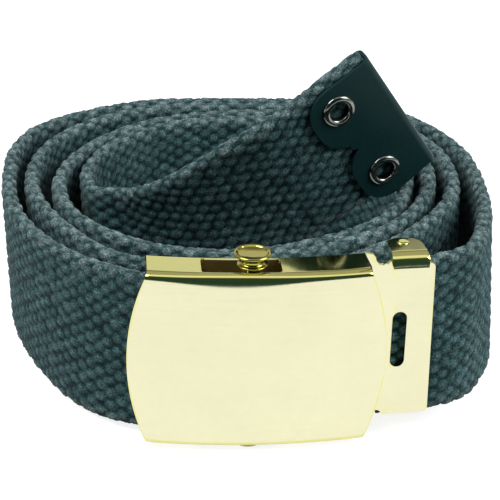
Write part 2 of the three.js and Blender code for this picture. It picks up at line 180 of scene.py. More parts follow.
fresh()
bpy.ops.mesh.primitive_plane_add(size=FLOOR["size"], location=(0, FLOOR["middle_y"], 0))
floor = bpy.context.object
floor.name = "floor"
floor.data.materials.append(floor_material())
print("floor", FLOOR["size"], "m wide")

# %% Sky, banded for the metal
# degrees up from the horizon in front, over the top, and down to the horizon behind
ARCH = [
    (0, (0.03, 0.07, 0.065)), (45, (0.035, 0.075, 0.07)), (57, (0.06, 0.09, 0.08)), (62, grey(0.35)),
    (66, grey(1.3)), (84, grey(1.3)), (88, grey(0.55)), (128, grey(0.55)), (131, grey(0.3)),
    (143, grey(0.3)), (149, grey(1.0)), (161, grey(1.0)), (166, grey(0.35)), (178, grey(0.2)),
]
# the walls at the left and right take over where a direction's x passes from one to the other
WALLS = {"from": 0.6, "to": 0.95, "color": (0.55, 0.57, 0.58, 1)}


def studio_sky():
    world = bpy.data.worlds.new("studio")
    bpy.context.scene.world = world
    world.use_nodes = True
    sky = world.node_tree
    sky.nodes.clear()
    direction = node(sky, "TexCoord")
    parts = node(sky, "SeparateXYZ")
    forward = times(sky, -1.0)
    turn_up = node(sky, "Math", operation="ARCTAN2")
    share = node(sky, "Math", {1: math.pi}, operation="DIVIDE")
    arch = ramp(sky, [(degree / 180, color) for degree, color in ARCH])
    link(sky, direction, "Generated", parts, 0, parts, "Y", forward, 0, parts, "Z", turn_up, 0)
    link(sky, forward, 0, turn_up, 1, turn_up, 0, share, 0, share, 0, arch, 0)
    sideways = node(sky, "Math", operation="ABSOLUTE")
    to_side = node(sky, "MapRange", {"From Min": WALLS["from"], "From Max": WALLS["to"]})
    walls = mix(sky, {"B": WALLS["color"]})
    link(sky, parts, "X", sideways, 0, sideways, 0, to_side, 0, to_side, 0, walls, 0, arch, 0, walls, 6)
    ray = node(sky, "LightPath")
    backdrop = mix(sky, {"B": (1, 1, 1, 1)})
    background = node(sky, "Background")
    output = node(sky, "OutputWorld")
    link(sky, ray, "Is Camera Ray", backdrop, 0, walls, 2, backdrop, 6)
    link(sky, backdrop, 2, background, 0, background, 0, output, 0)


studio_sky()
print("sky of", len(ARCH), "stops")

# %% Lamps
LAMP_AIM = (0, 0, 0.02)
LAMP_SIZE = 0.4


def softbox(name, place, power):
    """A square lamp that looks at the belt."""
    data = bpy.data.lights.new(name, "AREA")
    data.size = LAMP_SIZE
    data.energy = power
    lamp = bpy.data.objects.new(name, data)
    bpy.context.collection.objects.link(lamp)
    lamp.location = place
    lamp.rotation_euler = (Vector(LAMP_AIM) - Vector(place)).to_track_quat("-Z", "Y").to_euler()


softbox("key", (-0.4, -0.2, 0.6), 4.5)
softbox("fill", (0.55, -0.15, 0.45), 4.5)
bpy.context.scene.view_settings.view_transform = "Standard"
print("studio ready")

# %% [markdown]
# ## The route of the strap
# The strap is one continuous strip, so its shape is one curve. Two routes were possible: bend a
# flat strip by simulation, or draw the curve. The coil's turns are well seen from above, so the
# curve is drawn: each turn is a row of radii round the coil's middle, the buckle's stretch is
# drawn along its face, and the free end is a short list of points that rise and twist.
# A cubic curve through them, with the slopes of parabolas, makes it smooth.

# %% Rows of the coil
WEB_WIDTH = 38.0
COIL_MIDDLE = (-1.0, 16.0)
# how far the foot of each turn stands aside of its upper edge
COIL_LEAN = (1.8, -1.0)

# heading in degrees, then the radius of the four turns, from the outer to the inner
TURNS = [
    (-30, 63.4, 47.5, 42.1, 38.2),
    (0, 59.3, 51.7, 45.5, 39.8),
    (30, 64.1, 57.3, 52.0, 46.4),
    (60, 68.6, 62.1, 57.6, 50.6),
    (90, 60.9, 56.6, 51.3, 46.4),
    (120, 64.1, 58.9, 49.4, 45.2),
    (150, 66.2, 57.2, 46.8, 42.3),
    (180, 58.9, 53.1, 46.1, 39.1),
    (210, 57.5, 50.4, 45.2, None),
    (240, 60.4, 51.6, 43.4, None),
    (270, None, 44.4, 40.4, None),
    (300, None, 40.9, 37.1, None),
]
# turn and heading, then lift off the floor and how far the foot splays outwards
SETTLE = {
    (0, -30): (2.1, 0.5),
    (0, 0): (0, 0.5),
    (0, 30): (0.5, 2.1),
    (0, 120): (0, 0.2),
    (0, 150): (0, 1.2),
    (0, 180): (0, 0.3),
    (0, 210): (0, -0.6),
    (0, 240): (0.8, 2.2),
}
print(len(TURNS), "headings round the coil")

# %% Rows at the buckle and of the free end
BUCKLE = {"x": 2.28, "y": -47.0, "turn": 5.27}
# moves all rows onto the origin of the frame
STAND = (1.078, -15.278, 0.124)
# along the face, behind the face, off the floor, and how the upper edge tips back
FIXED_END = [
    (27.5, 4.6, 5.6, 0), (31, 5.4, 5.6, 0), (36, 6.2, 5.5, 0.01), (41, 8.2, 5.3, 0.05),
    (46, 11.6, 4.8, 0.08),
]
THROUGH_BOX = [
    (-22, 7.0, 2.1, 0), (-12, 7.2, 2.1, 0), (0, 7.9, 2.1, 0), (9, 9.6, 2.1, 0),
    (18, 14.4, 1.8, 0), (27, 21.4, 1.0, 0),
]
# x, y, z of the middle, then how the upper edge tips to the side and to the front
TAIL = [
    (-38.54, 10.62, 19.23, -0.02, -0.01),
    (-33.04, 7.42, 20.24, -0.06, -0.04),
    (-23.5, 5.81, 22.42, -0.16, -0.11),
    (-13.67, 5.18, 27.16, -0.28, -0.2),
    (-4.33, 4.74, 33.87, -0.4, -0.3),
    (3.93, 4.9, 40.08, -0.52, -0.38),
    (12.59, 6.01, 45.6, -0.64, -0.44),
    (14.88, 6.63, 47.14, -0.64, -0.44),
    (24.04, 9.18, 54.14, -0.64, -0.44),
    (33.2, 11.73, 61.12, -0.64, -0.44),
]
print(len(FIXED_END) + len(THROUGH_BOX), "rows at the buckle,", len(TAIL), "of the free end")

# %% Place the rows
FACE_TURN = math.radians(BUCKLE["turn"])
ALONG_FACE = np.array([math.cos(FACE_TURN), math.sin(FACE_TURN), 0.0])
BEHIND_FACE = np.array([-math.sin(FACE_TURN), math.cos(FACE_TURN), 0.0])


def buckle_row(u, d, lift, tip_back):
    """A row of the route that is drawn along the buckle's face."""
    spot = np.array([BUCKLE["x"], BUCKLE["y"], WEB_WIDTH / 2 + lift]) + u * ALONG_FACE + d * BEHIND_FACE
    return [*spot, 0, tip_back]


def coil_row(turn, heading, radius):
    """A row of the route that is drawn round the coil's middle."""
    lift, splay = SETTLE.get((turn, heading), (0, 0))
    out, side = math.cos(math.radians(heading)), math.sin(math.radians(heading))
    lean = (COIL_LEAN[0] + splay * out, COIL_LEAN[1] + splay * side)
    x, y = COIL_MIDDLE[0] + radius * out, COIL_MIDDLE[1] + radius * side
    return [x, y, WEB_WIDTH / 2 + lift, -lean[0] / WEB_WIDTH, -lean[1] / WEB_WIDTH]


rows = [buckle_row(*spot) for spot in FIXED_END]
turn_starts = []
for turn in range(4):
    turn_starts.append(len(rows))
    rows += [coil_row(turn, row[0], row[turn + 1]) for row in TURNS if row[turn + 1] is not None]
    if turn == 0:
        rows += [buckle_row(*spot) for spot in THROUGH_BOX]
tail_start = len(rows)
rows = np.array(rows + [list(row) for row in TAIL])
rows[:, :3] += STAND
print(len(rows), "rows, tail from row", tail_start)

# %% Smooth curve through the rows
PER_SPAN = 40


def slopes_of(rows, spans):
    """Slope of each row: that of the parabola through it and its two neighbours."""
    rise = np.diff(rows, axis=0) / spans[:, None]
    before, after = spans[:-1, None], spans[1:, None]
    inner = (rise[:-1] * after + rise[1:] * before) / (before + after)
    return np.vstack([rise[:1], inner, rise[-1:]])


def curve_points(rows):
    """Close points of the cubic curve through the rows, with the row number of each."""
    spans = np.linalg.norm(np.diff(rows[:, :3], axis=0), axis=1)
    slopes = slopes_of(rows, spans)
    points, marks = [], []
    for i, span in enumerate(spans):
        t = np.arange(PER_SPAN)[:, None] / PER_SPAN
        start, end = (1 + 2 * t) * (1 - t) ** 2, t * t * (3 - 2 * t)
        leave, arrive = t * (1 - t) ** 2 * span, t * t * (t - 1) * span
        points.append(start * rows[i] + leave * slopes[i] + end * rows[i + 1] + arrive * slopes[i + 1])
        marks.append(i + t[:, 0])
    return np.vstack([*points, rows[-1:]]), np.append(np.concatenate(marks), len(rows) - 1)


route, route_marks = curve_points(rows)
run = np.concatenate([[0], np.cumsum(np.linalg.norm(np.diff(route[:, :3], axis=0), axis=1))])
STRAP_LENGTH = run[-1]
SLOPE_REACH = 1.5


def length_at_row(mark):
    """Length of strap from its fixed end to a row of the route."""
    return float(np.interp(mark, route_marks, run))


def strap_frames(s):
    """Middle of the strap and its directions along, across and outward, at lengths s in mm."""
    def at(values):
        return np.stack([np.interp(values, run, route[:, k]) for k in range(5)], axis=1)

    here = at(s)
    along = (at(s + SLOPE_REACH) - at(s - SLOPE_REACH))[:, :3]
    along /= np.linalg.norm(along, axis=1)[:, None]
    upper = np.column_stack([here[:, 3], here[:, 4], np.ones(len(s))])
    outward = np.cross(along, upper)
    outward /= np.linalg.norm(outward, axis=1)[:, None]
    return here[:, :3], along, np.cross(outward, along), outward


print("strap length %.0f mm" % STRAP_LENGTH)

# %% [markdown]
# ## The weave
# This webbing is a plain weave of thick cotton yarn. Every lengthwise rib comes to the surface as
# a row of oval bumps, and the bumps of neighbouring ribs are half a repeat apart, like bricks.
# A bump map would look flat along the top edges, where the bumps make the outline, so they are
# real: the mesh has a column of points along each rib and each furrow, and the ribs rise and sink.
# The bumps of three ribs are laid over each other and the highest wins, so a bump may be wider than
# its own rib, as thick yarn is. Each differs a little in size and place, as in real cloth.
# Hidden faces between the turns get few columns, so that the visible ones can be fine.

# %% Section of the strap, in ribs
FACE_RIBS = 22
EDGE_RIBS = 3
RIBS = 2 * (FACE_RIBS + EDGE_RIBS)
CORE_THICK = 3.0
BUMP = 0.5
FURROW = -0.08
REPEAT = 5.2
STEP = REPEAT / 9
# half sizes of a bump, how blunt it is and how much its size varies, then how far it strays
NUB = {"along": 1.75, "across": 1.4, "roundness": 0.7, "vary": 0.3}
STRAY = {"along": 0.7, "across": 0.35}
FUZZ = {"face": 0.07, "edge": 0.2}
# the mark of an edge is full at its middle and gone 2.5 ribs away; the bumps sink a little there
EDGE_BAND = {"reach": 1.9, "fade": 1.3, "sink": 0.05}
# the upper ribs of a hidden face still show over the turn in front of it
SHOWN_RIBS = 6
FINE_COLUMNS = 4
CORE_HALF = CORE_THICK / 2
FLAT_HALF = WEB_WIDTH / 2 - CORE_HALF - BUMP - FURROW
RIB_PITCH = 2 * FLAT_HALF / FACE_RIBS


def section(q):
    """Place on the strap's core and direction out of it, at q ribs round the section."""
    q = np.mod(q, RIBS)
    x, y = np.zeros_like(q), np.zeros_like(q)
    nx, ny = np.zeros_like(q), np.zeros_like(q)
    stops = [FACE_RIBS, FACE_RIBS + EDGE_RIBS, 2 * FACE_RIBS + EDGE_RIBS, RIBS]
    front = q < stops[0]
    top = (q >= stops[0]) & (q < stops[1])
    back = (q >= stops[1]) & (q < stops[2])
    foot = q >= stops[2]
    x[front], y[front], nx[front] = CORE_HALF, -FLAT_HALF + q[front] * RIB_PITCH, 1
    x[back], y[back], nx[back] = -CORE_HALF, FLAT_HALF - (q[back] - stops[1]) * RIB_PITCH, -1
    rounds = [(top, stops[0], 0, FLAT_HALF), (foot, stops[2], math.pi, -FLAT_HALF)]
    for part, start, turn, middle in rounds:
        angle = turn + (q[part] - start) / EDGE_RIBS * math.pi
        nx[part], ny[part] = np.cos(angle), np.sin(angle)
        x[part], y[part] = CORE_HALF * nx[part], middle + CORE_HALF * ny[part]
    return x, y, nx, ny


def rib_columns(outer_fine, inner_fine):
    """Rib number and place across the rib of each column round the strap.
    A face that nothing shows is fine only in its upper ribs."""
    top = FACE_RIBS + EDGE_RIBS
    ribs, places = [], []
    for rib in range(RIBS):
        if rib < top:
            shown = outer_fine or rib >= FACE_RIBS - SHOWN_RIBS
        elif rib < top + FACE_RIBS:
            shown = inner_fine or rib < top + SHOWN_RIBS
        else:
            shown = outer_fine
        count = FINE_COLUMNS if shown else 1
        ribs += [rib] * count
        places += [-0.5 + k / count for k in range(count)]
    return np.array(ribs), np.array(places)


def scatter(a, b):
    """A steady pseudo-random number from 0 to 1 for each pair of numbers."""
    mixed = np.sin(a * 12.9898 + b * 78.233 + 4.7) * 43758.5453
    return mixed - np.floor(mixed)


print(RIBS, "ribs round the section,", round(RIB_PITCH, 2), "mm apart")

# %% Height of the weave
def woven_surface(s, rib, across_rib):
    """Height, place round the strap and nearness to a crown, at lengths s and the given columns."""
    q = rib + 0.5 + across_rib
    crown = np.zeros((len(s), len(rib)))
    for beside in (-1, 0, 1):
        home = (rib + beside)[None, :]
        which = np.round(s[:, None] / REPEAT + 0.5 * (home % 2))
        wander = scatter(home % RIBS, which)
        again = scatter(which + 31, home % RIBS)
        middle = (which - 0.5 * (home % 2)) * REPEAT + STRAY["along"] * (wander - 0.5)
        long = NUB["along"] * (1 + NUB["vary"] * (again - 0.5))
        wide = NUB["across"] * (1 + NUB["vary"] * (wander - 0.5))
        off_rib = (q[None, :] - home - 0.5) * RIB_PITCH - STRAY["across"] * (again - 0.5)
        far = ((s[:, None] - middle) / long) ** 2 + (off_rib / wide) ** 2
        crown = np.maximum(crown, np.clip(1 - far, 0, 1) ** NUB["roundness"] * (0.75 + 0.4 * again))
    edge = edge_of(q)[None, :]
    fuzz = (FUZZ["face"] + FUZZ["edge"] * edge) * (scatter(q[None, :] * 7.3, s[:, None] * 3.1) - 0.5)
    height = FURROW + BUMP * crown * (1 - EDGE_BAND["sink"] * edge) + fuzz
    return height, np.broadcast_to(q, crown.shape), crown


def edge_of(q):
    """1 on the ribs of the strap's two edges, 0 on its faces."""
    from_edge = np.abs(((q - FACE_RIBS - EDGE_RIBS / 2 + RIBS / 4) % (RIBS / 2)) - RIBS / 4)
    return np.clip(EDGE_BAND["reach"] - from_edge / EDGE_BAND["fade"], 0, 1)


print("bumps", BUMP, "mm high")

# %% Place, wear and painted shade, for the material
def read(parts, field):
    """One whole number of each part of a mesh."""
    values = np.zeros(len(parts), dtype=np.int64)
    parts.foreach_get(field, values)
    return values


def paint_strap(mesh, s, q, crown):
    """Stores place on the strap as UVs, and nearness to crowns and to the edges as attributes."""
    store(mesh, "crown", crown.ravel())
    store(mesh, "edge", edge_of(q).ravel())
    columns = q.shape[1]
    corner = read(mesh.loops, "vertex_index")
    starts, totals = read(mesh.polygons, "loop_start"), read(mesh.polygons, "loop_total")
    u = s[corner // columns]
    v = q[0][corner % columns]
    face = np.repeat(np.arange(len(starts)), totals)
    low = np.minimum.reduceat(v, starts)[face]
    # the last column joins the first, so its place is counted from below
    v = np.where(v - low > RIBS / 2, v - RIBS, v)
    uv = mesh.uv_layers.new(name="strap")
    uv.data.foreach_set("uv", np.column_stack([u * MM, v * RIB_PITCH * MM]).ravel())
    mesh.polygons.foreach_set("use_smooth", np.ones(len(mesh.polygons), dtype=bool))


print("strap painting ready")

# %% One length of woven strap
def woven_length(name, from_s, to_s, outer_fine, inner_fine):
    """A closed mesh of the strap between two lengths."""
    s = np.linspace(from_s, to_s, int(round((to_s - from_s) / STEP)) + 1)
    rib, across_rib = rib_columns(outer_fine, inner_fine)
    height, q, crown = woven_surface(s, rib, across_rib)
    x, y, nx, ny = section(q)
    x, y = x + nx * height, y + ny * height
    middle, along, across, outward = strap_frames(s)
    points = middle[:, None] + outward[:, None] * x[..., None] + across[:, None] * y[..., None]
    count, columns = len(s), len(rib)
    ring = np.arange(columns)
    after = (ring + 1) % columns
    base = np.arange(count - 1)[:, None] * columns
    quads = np.stack([base + ring, base + after, base + columns + after, base + columns + ring], axis=-1)
    caps = [list(ring[::-1]), list((count - 1) * columns + ring)]
    strap = new_piece(name, points.reshape(-1, 3), [], quads.reshape(-1, 4).tolist() + caps)
    strap.data.validate()
    paint_strap(strap.data, s, q, crown)
    return strap


print("a length has up to", len(rib_columns(True, True)[0]), "columns")

# %% Six lengths
in_box = turn_starts[1] - len(THROUGH_BOX) + 2
cut_rows = [turn_starts[0] + 4, in_box, turn_starts[2] - 1, turn_starts[3] - 1, tail_start]
cuts = [0, *[round(length_at_row(row) / STEP) * STEP for row in cut_rows], STRAP_LENGTH]
# name, then whether its outer and its inner face are seen
LENGTHS = [
    ("webbing_outer_right", True, False),
    ("webbing_outer_left", True, False),
    ("webbing_second_turn", False, False),
    ("webbing_third_turn", False, False),
    ("webbing_inner_turn", False, True),
    ("webbing_free_end", True, True),
]
straps = []
for (name, outer_fine, inner_fine), start, end in zip(LENGTHS, cuts[:-1], cuts[1:]):
    strap = woven_length(name, start, end, outer_fine, inner_fine)
    strap["run"] = end - start
    straps.append(strap)
    print(name, "%.0f to %.0f mm," % (start, end), 2 * len(strap.data.polygons), "triangles")

# %% [markdown]
# ## Cotton yarn
# Cotton webbing is matt and a little fuzzy, and its colour is never even. One flat colour would miss
# the furrows, so the tone follows the crown of each bump: the furrows are painted dark, a painted shade,
# and the tops are painted pale, a painted highlight; along the strap's two edges, which rub most, the
# crowns are also worn pale. Single fibres make fine speckles. They are a node group, because the
# metals use the same fine noise.

# %% Node group: speckle
def group(name, inputs, outputs):
    """An empty node group with its sockets, as (name, type, default)."""
    made = bpy.data.node_groups.new(name, "ShaderNodeTree")
    for label, kind, default in inputs:
        socket = made.interface.new_socket(name=label, in_out="INPUT", socket_type=kind)
        if default is not None:
            socket.default_value = default
    for label, kind in outputs:
        made.interface.new_socket(name=label, in_out="OUTPUT", socket_type=kind)
    return made, made.nodes.new("NodeGroupInput"), made.nodes.new("NodeGroupOutput")


def speckle_group():
    """Two sizes of noise laid over each other, as a value about 0.5."""
    made, into, out = group(
        "speckle",
        [("Vector", "NodeSocketVector", None), ("Coarse", "NodeSocketFloat", 900.0),
         ("Fine", "NodeSocketFloat", 3200.0), ("Fine share", "NodeSocketFloat", 0.5)],
        [("Value", "NodeSocketFloat")],
    )
    coarse = node(made, "TexNoise", {"Detail": 2.0})
    fine = node(made, "TexNoise", {"Detail": 1.0})
    mixed = mix(made, kind="FLOAT")
    link(made, into, "Vector", coarse, "Vector", into, "Vector", fine, "Vector")
    link(made, into, "Coarse", coarse, "Scale", into, "Fine", fine, "Scale")
    link(made, into, "Fine share", mixed, 0, coarse, 0, mixed, 2, fine, 0, mixed, 3)
    link(made, mixed, 0, out, "Value")
    return made


SPECKLE = speckle_group()


def speckle(tree, place, socket, coarse, fine, share):
    """The speckle group, fed with the place on a piece."""
    sizes = {"Coarse": coarse, "Fine": fine, "Fine share": share}
    made = node(tree, "Group", sizes, node_tree=SPECKLE)
    link(tree, place, socket, made, "Vector")
    return made


print("group", SPECKLE.name, "ready")

# %% Cotton material
# painted shade and light: the colour runs from dark in the furrows, where shade falls, to pale on the
# crowns, where light falls
FURROW_SHADE_TO_CROWN_LIGHT = [
    (0.0, (0.003, 0.015, 0.016)), (0.25, (0.010, 0.034, 0.036)), (0.6, (0.028, 0.068, 0.072)),
    (1.0, (0.054, 0.104, 0.110)),
]
# the edges' crowns are worn pale, and this ramp is also painted darker in the furrows, a painted shade
WORN_EDGE_WITH_PAINTED_SHADE = [(0.0, (0.012, 0.035, 0.036)), (0.3, (0.035, 0.068, 0.070)), (0.9, (0.105, 0.145, 0.148))]
FLECKS = [(0.34, grey(0.3)), (0.5, grey(0.9)), (0.68, grey(2.3))]


def cotton_material():
    """Matt, fuzzy yarn: painted shade in the furrows, painted light on the crowns, worn edges and fine
    flecks.
    """
    matt = {"Roughness": 0.92, "Specular IOR Level": 0.12, "Sheen Weight": 0.06, "Sheen Roughness": 0.5}
    made, tree, shader = new_material("slate_cotton", matt)
    uv = node(tree, "UVMap", uv_map="strap")
    crown = stored(tree, "crown")
    edge = stored(tree, "edge")
    noise = speckle(tree, uv, "UV", 700.0, 2600.0, 0.6)
    # painted shade in the furrows and painted light on the crowns
    depth = ramp(tree, FURROW_SHADE_TO_CROWN_LIGHT)
    worn_edge_shade = ramp(tree, WORN_EDGE_WITH_PAINTED_SHADE)
    fade = times(tree, 0.8)
    shade_and_wear = mix(tree)
    link(tree, crown, "Fac", depth, 0, crown, "Fac", worn_edge_shade, 0, edge, "Fac", fade, 0)
    link(tree, fade, 0, shade_and_wear, 0, depth, 0, shade_and_wear, 6, worn_edge_shade, 0, shade_and_wear, 7)
    flecks = ramp(tree, FLECKS)
    lit = mix(tree, {"Factor": 1.0}, blend_type="MULTIPLY")
    link(tree, noise, 0, flecks, 0, shade_and_wear, 2, lit, 6, flecks, 0, lit, 7, lit, 2, shader, "Base Color")
    fibres = node(tree, "Bump", {"Strength": 0.9, "Distance": 0.0004})
    link(tree, noise, 0, fibres, "Height", fibres, 0, shader, "Normal")
    return made


COTTON = cotton_material()
for strap in straps:
    strap.data.materials.append(COTTON)
print("cotton on", len(straps), "lengths")

# %% [markdown]
# ## The buckle's cover
# The cover is one piece of brass sheet: a bowed face, barrel-shaped at its two ends, with a wall
# folded back along its top and its foot. It could be cut out of a solid block, but sheet metal is
# best made as it is in the factory: a flat grid is given walls by extruding its long edges, the
# folds are rounded with a bevel, the sheet is bowed, thickened, and then blanked to its outline.
# Places on the buckle are u along its face, d behind the face and z up, all in millimetres.

# %% Helpers: select and pick
def alone(piece):
    """Makes a piece the active one and the only one selected."""
    fresh()
    piece.select_set(True)
    bpy.context.view_layer.objects.active = piece


def edit(piece, kind="EDGE", action="DESELECT"):
    """Opens one piece in edit mode, with nothing selected or with all of it."""
    alone(piece)
    bpy.ops.object.mode_set(mode="EDIT")
    bpy.ops.mesh.select_mode(type=kind)
    bpy.ops.mesh.select_all(action=action)


def pick(piece, test):
    """Selects the edges whose two points both pass a test, in mm."""
    shape = bmesh.from_edit_mesh(piece.data)
    for edge in shape.edges:
        if all(test(point.co / MM) for point in edge.verts):
            edge.select_set(True)
    bmesh.update_edit_mesh(piece.data)


def near(a, b):
    return abs(a - b) < 0.02


print("selection helpers ready")

# %% Helpers: finish a piece
def settle(piece, matrix=None):
    """Puts the piece's place into its mesh, so that its object sits at the origin."""
    alone(piece)
    bpy.ops.object.transform_apply(location=True, rotation=True, scale=True)
    if matrix:
        piece.data.transform(matrix)
        if matrix.determinant() < 0:
            piece.data.flip_normals()
        piece.data.update()


def apply_modifier(piece, kind, **settings):
    alone(piece)
    added = piece.modifiers.new(kind.lower(), kind)
    for name, value in settings.items():
        setattr(added, name, value)
    bpy.ops.object.modifier_apply(modifier=added.name)


def clean(piece, gap=0.004):
    """Merges doubles and turns the faces outwards."""
    edit(piece, action="SELECT")
    bpy.ops.mesh.remove_doubles(threshold=gap * MM)
    bpy.ops.mesh.normals_make_consistent(inside=False)
    bpy.ops.object.mode_set(mode="OBJECT")


def smooth(piece, angle):
    alone(piece)
    bpy.ops.object.shade_smooth_by_angle(angle=math.radians(angle))


def soften(piece, width):
    """Rounds the sharp edges a little and shades the rest smooth."""
    apply_modifier(piece, "BEVEL", width=width * MM, segments=2, limit_method="ANGLE",
                   angle_limit=math.radians(32), miter_outer="MITER_ARC", use_clamp_overlap=True)
    smooth(piece, 40)


def paint_face(piece):
    """Marks with 1 the broad face of a piece, which looks forward, before it goes onto the buckle; there
    the brass is brushed and painted paler as a painted reflection.
    """
    ahead = np.array([-point.normal.y for point in piece.data.vertices])
    store(piece.data, "face", np.clip((ahead - 0.93) / 0.05, 0, 1))


print("finishing helpers ready")

# %% Helpers: outlines and cutters
def arc(x, y, radius, start, end, steps):
    """Points of an arc, with angles in degrees."""
    angles = np.radians(np.linspace(start, end, steps + 1))
    return [(x + radius * math.cos(a), y + radius * math.sin(a)) for a in angles]


def extrude(by):
    """Extrudes what is selected, by a vector in mm."""
    bpy.ops.mesh.extrude_region_move(TRANSFORM_OT_translate={"value": [step * MM for step in by]})


def cutter(points, carried):
    """A tool for blanking and punching: an outline, carried along a vector."""
    tool = new_piece("cutter", points, [], [list(range(len(points)))])
    edit(tool, "FACE", "SELECT")
    extrude(carried)
    clean(tool, 0.001)
    return tool


def front_blank(outline, from_d, to_d):
    """A cutter: an outline drawn in u and z, carried from one depth to another."""
    return cutter([(u, from_d, z) for u, z in outline], (0, to_d - from_d, 0))


def plan_blank(outline, from_z, to_z):
    """A cutter: an outline drawn from above, carried upwards."""
    return cutter([(x, y, from_z) for x, y in outline], (0, 0, to_z - from_z))


def carve(piece, tool, operation="DIFFERENCE"):
    """Cuts a piece with a tool, then throws the tool away."""
    apply_modifier(piece, "BOOLEAN", object=tool, operation=operation, solver="EXACT")
    bpy.data.objects.remove(tool)


print("cutting helpers ready")

# %% Helpers: bowed sheet
SHEET = 0.85
FACE_RADIUS = 134.0
FACE_BULGE = 2.2
buckle_place = Vector((BUCKLE["x"] + STAND[0], BUCKLE["y"] + STAND[1], STAND[2])) * MM
TO_BUCKLE = Matrix.Translation(buckle_place) @ Matrix.Rotation(FACE_TURN, 4, "Z")
# the frame follows the face as far as u, then runs straight on
STRAIGHT = {"from": 30, "slope": 0.08}


def bow(u):
    """Depth of the bowed face at u along it."""
    return u * u / (2 * FACE_RADIUS) - FACE_BULGE


def frame_bow(u):
    """Depth of the frame at u along it."""
    start = STRAIGHT["from"]
    return bow(u) if u <= start else bow(start) + STRAIGHT["slope"] * (u - start)


def upright_grid(name, columns, lines, from_u, to_u, depth, foot, top):
    """A flat sheet that stands on end, as a grid of squares."""
    fresh()
    bpy.ops.mesh.primitive_grid_add(x_subdivisions=columns, y_subdivisions=lines, size=1,
                                    rotation=(math.radians(90), 0, 0))
    made = bpy.context.object
    made.name = name
    made.scale = ((to_u - from_u) * MM, (top - foot) * MM, 1)
    made.location = ((from_u + to_u) / 2 * MM, depth * MM, (foot + top) / 2 * MM)
    settle(made)
    return made


def set_back(piece, depth_at):
    """Bows a piece: moves each point back by the depth at its place along the face."""
    for point in piece.data.vertices:
        point.co.y += depth_at(point.co.x / MM) * MM


def thicken(piece, sheet):
    apply_modifier(piece, "SOLIDIFY", thickness=sheet * MM, offset=-1, use_even_offset=True)
    clean(piece)


print("sheet", SHEET, "mm thick, bowed to a radius of", FACE_RADIUS, "mm")

# %% Helpers: folded sheet
def fold(piece, rims, by, bend, segments):
    """Gives a flat sheet a wall along each of its rims, then rounds the folds."""
    for on_rim in rims:
        edit(piece)
        pick(piece, on_rim)
        extrude(by)
    edit(piece)
    for on_rim in rims:
        pick(piece, on_rim)
    bpy.ops.mesh.bevel(offset=bend * MM, segments=segments, affect="EDGES", profile=0.5)
    bpy.ops.object.mode_set(mode="OBJECT")


def channel(name, from_u, to_u, front, back, foot, top, bend, depth_at=bow, roll=None):
    """A strip of sheet folded into a channel and bowed along its face. The upper fold can be
    rolled further down the face in some places than in others."""
    made = upright_grid(name, int(to_u - from_u) + 1, 10, from_u, to_u, front, foot, top)
    rims = [lambda p, level=level: near(p.z, level) and near(p.y, front) for level in (foot, top)]
    fold(made, rims, (0, back - front, 0), bend, 10)
    for point in made.data.vertices:
        below = top - point.co.z / MM
        if roll and below < bend + 0.01:
            point.co.z = (top - below * roll(point.co.x / MM) / bend) * MM
    set_back(made, depth_at)
    thicken(made, SHEET)
    return made


print("folding helpers ready")

# %% Cover: outline
COVER = {"foot": 0.92, "height": 42.4, "half_corner": 23.95, "half_middle": 28.45, "depth": 9.2}
COVER_TOP = COVER["foot"] + COVER["height"]
COVER_BEND = 2.2
# how far down the face the upper fold is rolled: furthest near the locking bar
ROLL = {"least": 1.4, "more": 1.55, "at": -5, "spread": 13}
SOFT_EDGE = 0.12


def barrel_outline():
    """The cover seen from the front: straight top and foot, round ends."""
    bulge, half = COVER["half_middle"] - COVER["half_corner"], COVER["height"] / 2
    radius = (half * half + bulge * bulge) / (2 * bulge)
    sweep = math.degrees(math.asin(half / radius))
    middle = COVER["foot"] + half
    right = arc(COVER["half_middle"] - radius, middle, radius, -sweep, sweep, 28)
    left = arc(radius - COVER["half_middle"], middle, radius, 180 - sweep, 180 + sweep, 28)
    return right + left


def fold_reach(u):
    return ROLL["least"] + ROLL["more"] * math.exp(-(((u - ROLL["at"]) / ROLL["spread"]) ** 2))


print("barrel outline of", len(barrel_outline()), "points")

# %% Cover: slot and lip
BAR_SLOT = {"from": -12.4, "to": 4.9, "front": 2.1, "corner": 0.8}
LIP = {"to": 9.0, "drop": 2.9, "below_top": 0.2}


def slot_cutter(from_u, to_u, from_d, to_d, corner):
    """A tall block with round upright edges, bowed like the face."""
    fresh()
    bpy.ops.mesh.primitive_cube_add(size=1)
    tool = bpy.context.object
    tool.scale = ((to_u - from_u) * MM, (to_d - from_d) * MM, 60 * MM)
    tool.location = ((from_u + to_u) / 2 * MM, (from_d + to_d) / 2 * MM, COVER_TOP / 2 * MM)
    settle(tool)
    edit(tool)
    shape = bmesh.from_edit_mesh(tool.data)
    for edge in shape.edges:
        a, b = (point.co / MM for point in edge.verts)
        edge.select_set(near(a.x, b.x) and near(a.y, b.y))
    bmesh.update_edit_mesh(tool.data)
    bpy.ops.mesh.bevel(offset=corner * MM, segments=8, affect="EDGES")
    for cut_u in np.arange(math.ceil(from_u), to_u, 1.5):
        bpy.ops.mesh.select_all(action="SELECT")
        bpy.ops.mesh.bisect(plane_co=(cut_u * MM, 0, 0), plane_no=(1, 0, 0))
    bpy.ops.object.mode_set(mode="OBJECT")
    set_back(tool, bow)
    clean(tool, 0.001)
    return tool


def cover_lip():
    """The short flange behind the locking bar, where the upper wall turns down."""
    start, end = BAR_SLOT["from"], LIP["to"]
    foot, top = COVER_TOP - LIP["drop"], COVER_TOP - LIP["below_top"]
    lip = upright_grid("lip", int(end - start), 3, start, end, COVER["depth"] - SHEET, foot, top)
    set_back(lip, bow)
    thicken(lip, SHEET - 0.03)
    return lip


print("slot", round(BAR_SLOT["to"] - BAR_SLOT["from"], 1), "mm long")

# %% Make the cover
# where the metal seen through the slot lies: beside the slot, behind its front, below the top
INSIDE = {"beside": 0.3, "behind": 0.4, "highest": 0.06, "lowest": 3.3}


